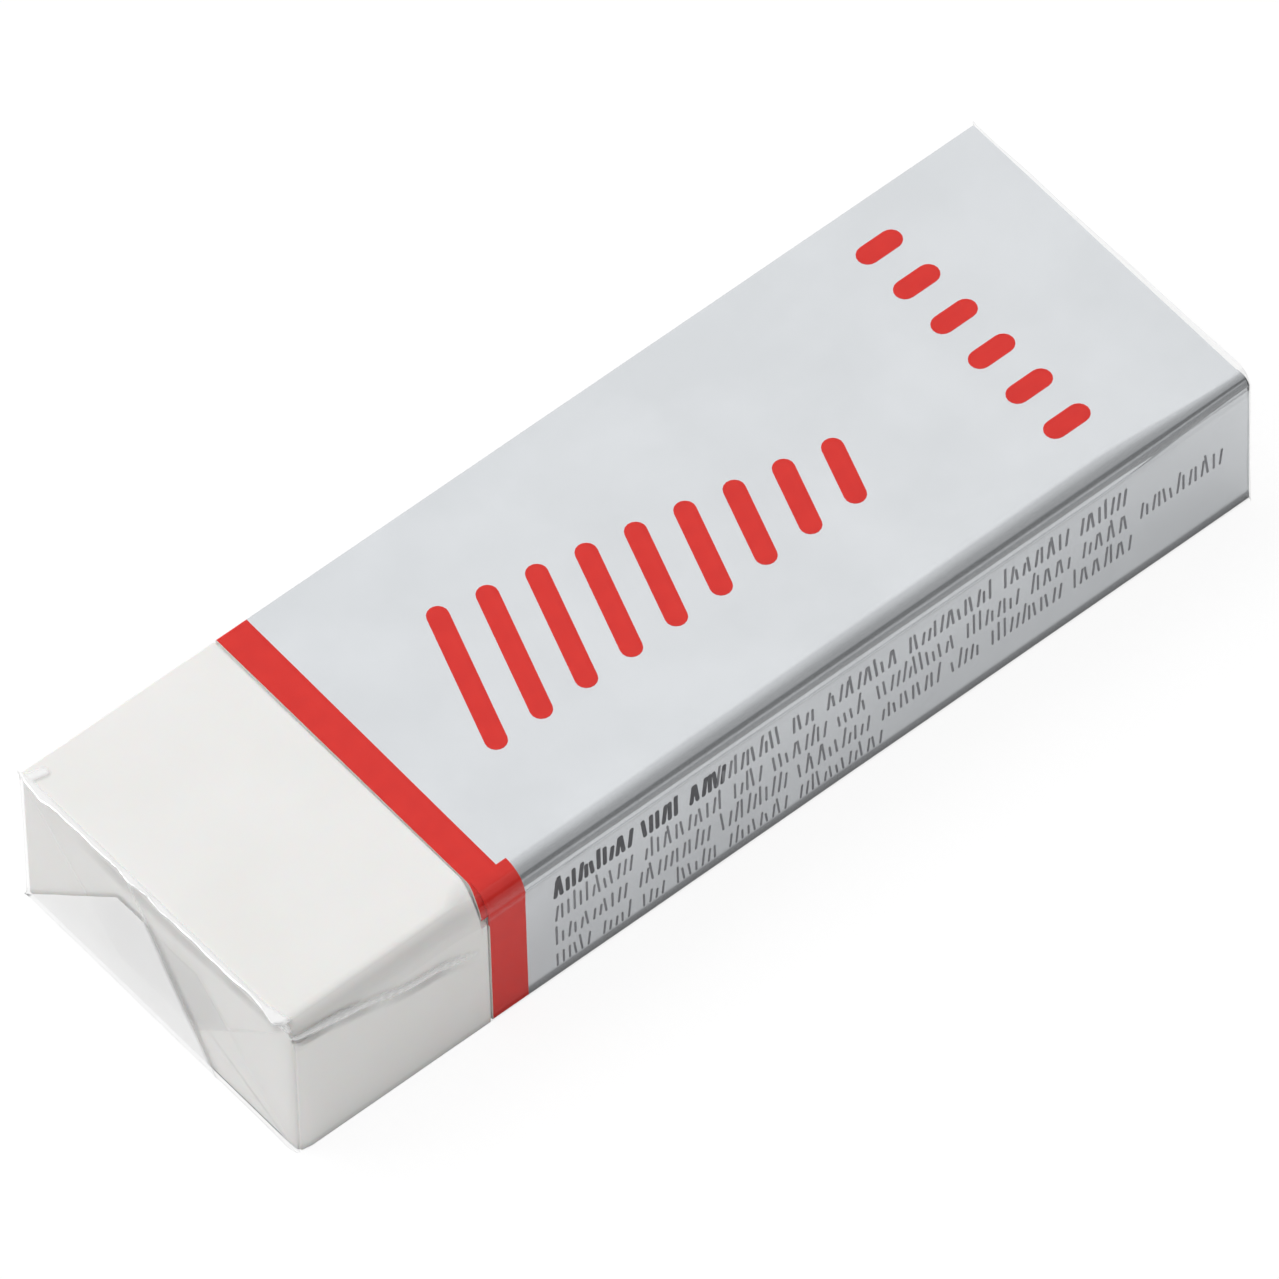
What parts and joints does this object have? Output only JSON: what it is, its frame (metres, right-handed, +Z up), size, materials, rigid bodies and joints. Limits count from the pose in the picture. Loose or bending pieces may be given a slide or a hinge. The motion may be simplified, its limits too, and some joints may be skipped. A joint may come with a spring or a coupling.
{
  "type": "plastic eraser",
  "caption": "Rectangular white plastic eraser in a sliding printed card sleeve with a coloured band, overwrapped in clear film with folded ends.",
  "frame": {"origin": "on the surface that the eraser lies on, under the middle of the wrapped eraser", "axes": "+X along the eraser from its bare white end to its sleeved end, +Y across it away from the side with the lapped seams, +Z up"},
  "size_m": [0.0654, 0.0226, 0.011],
  "materials": {
    "white_vinyl": "matte",
    "silver_card": "satin",
    "pale_glue": "satin",
    "clear_film": "gloss"
  },
  "bodies": {
    "block": {"eraser_block": "white_vinyl"},
    "sleeve": {"card_sleeve": "silver_card", "sleeve_glue_line": "pale_glue"},
    "film": {"film_wrap": "clear_film"},
    "bare_end_bottom_flap": {"bare_end_bottom_flap": "clear_film"},
    "bare_end_top_flap": {"bare_end_top_flap": "clear_film"},
    "bare_end_near_tuck": {"bare_end_near_tuck": "clear_film"},
    "bare_end_far_tuck": {"bare_end_far_tuck": "clear_film"},
    "sleeve_end_bottom_flap": {"sleeve_end_bottom_flap": "clear_film"},
    "sleeve_end_top_flap": {"sleeve_end_top_flap": "clear_film"},
    "sleeve_end_near_tuck": {"sleeve_end_near_tuck": "clear_film"},
    "sleeve_end_far_tuck": {"sleeve_end_far_tuck": "clear_film"}
  },
  "joints": [
    {"name": "sleeve_slide", "type": "slide", "parent": "block", "child": "sleeve", "axis": [1, 0, 0], "range_m": [0, 0.04], "deforming": ["sleeve_end_bottom_flap", "sleeve_end_top_flap", "sleeve_end_near_tuck", "sleeve_end_far_tuck"]},
    {"name": "film_pull", "type": "slide", "parent": "block", "child": "film", "axis": [1, 0, 0], "range_m": [0, 0.08], "deforming": ["bare_end_bottom_flap", "bare_end_top_flap", "bare_end_near_tuck", "bare_end_far_tuck"]},
    {"name": "bare_end_bottom_flap_fold", "type": "hinge", "parent": "film", "child": "bare_end_bottom_flap", "pos_m": [-0.03271, 0, 0.00003], "axis": [0, -1, 0], "range_deg": [0, 90]},
    {"name": "bare_end_top_flap_fold", "type": "hinge", "parent": "film", "child": "bare_end_top_flap", "pos_m": [-0.03261, 0, 0.01067], "axis": [0, 1, 0], "range_deg": [0, 90]},
    {"name": "bare_end_near_tuck_fold", "type": "hinge", "parent": "film", "child": "bare_end_near_tuck", "pos_m": [-0.03251, -0.01123, 0.005], "axis": [0, 0, 1], "range_deg": [0, 90]},
    {"name": "bare_end_far_tuck_fold", "type": "hinge", "parent": "film", "child": "bare_end_far_tuck", "pos_m": [-0.03251, 0.01123, 0.005], "axis": [0, 0, -1], "range_deg": [0, 90]},
    {"name": "sleeve_end_bottom_flap_fold", "type": "hinge", "parent": "film", "child": "sleeve_end_bottom_flap", "pos_m": [0.03271, 0, 0.00003], "axis": [0, 1, 0], "range_deg": [0, 90]},
    {"name": "sleeve_end_top_flap_fold", "type": "hinge", "parent": "film", "child": "sleeve_end_top_flap", "pos_m": [0.03261, 0, 0.01067], "axis": [0, -1, 0], "range_deg": [0, 90]},
    {"name": "sleeve_end_near_tuck_fold", "type": "hinge", "parent": "film", "child": "sleeve_end_near_tuck", "pos_m": [0.03251, -0.01123, 0.005], "axis": [0, 0, -1], "range_deg": [0, 90]},
    {"name": "sleeve_end_far_tuck_fold", "type": "hinge", "parent": "film", "child": "sleeve_end_far_tuck", "pos_m": [0.03251, 0.01123, 0.005], "axis": [0, 0, 1], "range_deg": [0, 90]}
  ],
  "couplings": [
    {"joint": "bare_end_bottom_flap_fold", "follows": "film_pull", "rad_per_m": 19.63},
    {"joint": "bare_end_top_flap_fold", "follows": "film_pull", "rad_per_m": 19.63},
    {"joint": "bare_end_near_tuck_fold", "follows": "film_pull", "rad_per_m": 19.63},
    {"joint": "bare_end_far_tuck_fold", "follows": "film_pull", "rad_per_m": 19.63},
    {"joint": "sleeve_end_bottom_flap_fold", "follows": "sleeve_slide", "rad_per_m": 39.26},
    {"joint": "sleeve_end_top_flap_fold", "follows": "sleeve_slide", "rad_per_m": 39.26},
    {"joint": "sleeve_end_near_tuck_fold", "follows": "sleeve_slide", "rad_per_m": 39.26},
    {"joint": "sleeve_end_far_tuck_fold", "follows": "sleeve_slide", "rad_per_m": 39.26}
  ]
}
